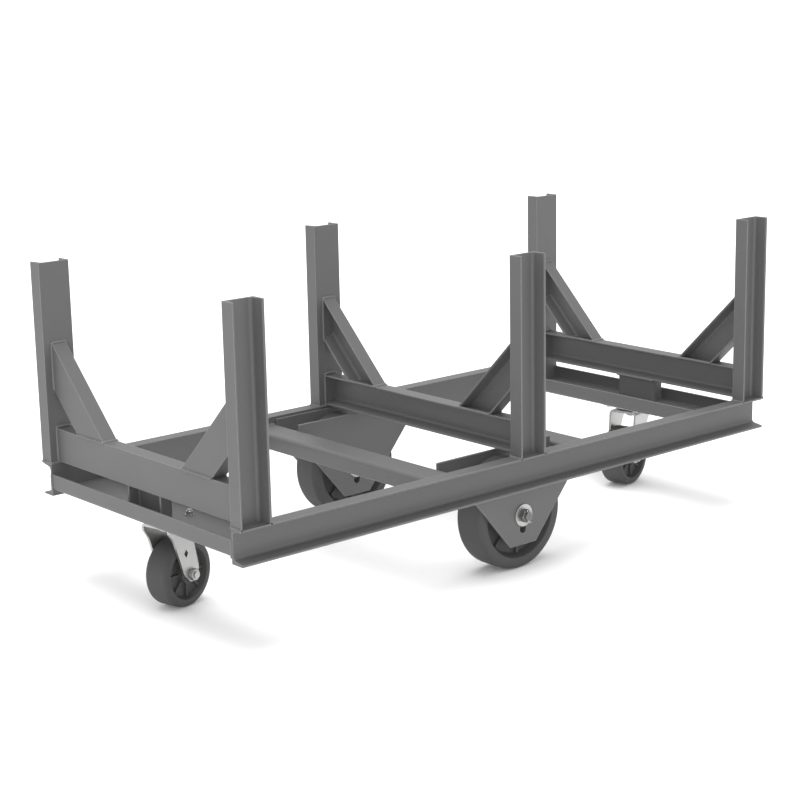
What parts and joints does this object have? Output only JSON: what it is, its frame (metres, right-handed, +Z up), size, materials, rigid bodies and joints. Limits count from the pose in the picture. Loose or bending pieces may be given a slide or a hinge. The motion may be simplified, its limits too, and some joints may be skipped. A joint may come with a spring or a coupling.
{
  "type": "bar cradle truck",
  "caption": "Long channel-steel truck with upright pairs, braced cradle beams for bar stock, large centre wheels and a swivel caster at each end.",
  "frame": {"origin": "on the floor under the middle of the frame", "axes": "+X along the truck towards its right end, +Y across it away from the near side, +Z up"},
  "size_m": [1.6256, 0.762, 0.7317],
  "materials": {
    "grey_paint": "satin grey enamel on rolled steel",
    "zinc_plate": "bright zinc plate",
    "wheel_moulding": "dark grey phenolic moulding",
    "bearing_steel": "ground bearing steel"
  },
  "bodies": {
    "frame": {"near_rail": "grey_paint", "far_rail": "grey_paint", "upright_left_near": "grey_paint", "upright_left_far": "grey_paint", "upright_middle_near": "grey_paint", "upright_middle_far": "grey_paint", "upright_right_near": "grey_paint", "upright_right_far": "grey_paint", "beam_left": "grey_paint", "beam_middle": "grey_paint", "beam_right": "grey_paint", "brace_left_near": "grey_paint", "brace_left_far": "grey_paint", "brace_middle_near": "grey_paint", "brace_middle_far": "grey_paint", "brace_right_near": "grey_paint", "brace_right_far": "grey_paint", "end_channel_left": "grey_paint", "spacer_left": "grey_paint", "cross_member_left": "grey_paint", "end_channel_right": "grey_paint", "spacer_right": "grey_paint", "cross_member_right": "grey_paint", "hanger_near_outer": "grey_paint", "hanger_near_inner": "grey_paint", "hanger_far_inner": "grey_paint", "hanger_far_outer": "grey_paint", "axle_bolts": "zinc_plate", "axle_washers": "zinc_plate", "axle_nuts": "zinc_plate", "axle_sleeves": "bearing_steel", "caster_bolts": "zinc_plate", "caster_washers": "zinc_plate", "caster_nuts": "zinc_plate", "caster_plate_left": "zinc_plate", "kingpin_left": "zinc_plate", "kingpin_nut_left": "zinc_plate", "caster_plate_right": "zinc_plate", "kingpin_right": "zinc_plate", "kingpin_nut_right": "zinc_plate"},
    "near_wheel": {"near_wheel": "wheel_moulding", "near_rollers": "bearing_steel"},
    "far_wheel": {"far_wheel": "wheel_moulding", "far_rollers": "bearing_steel"},
    "left_fork": {"fork_left": "zinc_plate", "swivel_balls_left": "bearing_steel", "caster_sleeve_left": "bearing_steel", "caster_axle_left": "zinc_plate", "caster_axle_nut_left": "zinc_plate"},
    "left_caster_wheel": {"caster_wheel_left": "wheel_moulding", "caster_rollers_left": "bearing_steel"},
    "right_fork": {"fork_right": "zinc_plate", "swivel_balls_right": "bearing_steel", "caster_sleeve_right": "bearing_steel", "caster_axle_right": "zinc_plate", "caster_axle_nut_right": "zinc_plate"},
    "right_caster_wheel": {"caster_wheel_right": "wheel_moulding", "caster_rollers_right": "bearing_steel"}
  },
  "joints": [
    {"name": "near_wheel_spin", "type": "hinge", "parent": "frame", "child": "near_wheel", "pos_m": [0, -0.2972, 0.13], "axis": [0, 1, 0], "continuous": true},
    {"name": "far_wheel_spin", "type": "hinge", "parent": "frame", "child": "far_wheel", "pos_m": [0, 0.2972, 0.13], "axis": [0, 1, 0], "continuous": true},
    {"name": "left_swivel", "type": "hinge", "parent": "frame", "child": "left_fork", "pos_m": [-0.74135, 0, 0.198], "axis": [0, 0, 1], "continuous": true},
    {"name": "left_wheel_spin", "type": "hinge", "parent": "left_fork", "child": "left_caster_wheel", "pos_m": [-0.70739, 0.00847, 0.0762], "axis": [-0.2419, 0.9703, 0], "continuous": true},
    {"name": "right_swivel", "type": "hinge", "parent": "frame", "child": "right_fork", "pos_m": [0.74135, 0, 0.198], "axis": [0, 0, 1], "continuous": true},
    {"name": "right_wheel_spin", "type": "hinge", "parent": "right_fork", "child": "right_caster_wheel", "pos_m": [0.70712, -0.00728, 0.0762], "axis": [0.2079, -0.9781, 0], "continuous": true}
  ]
}
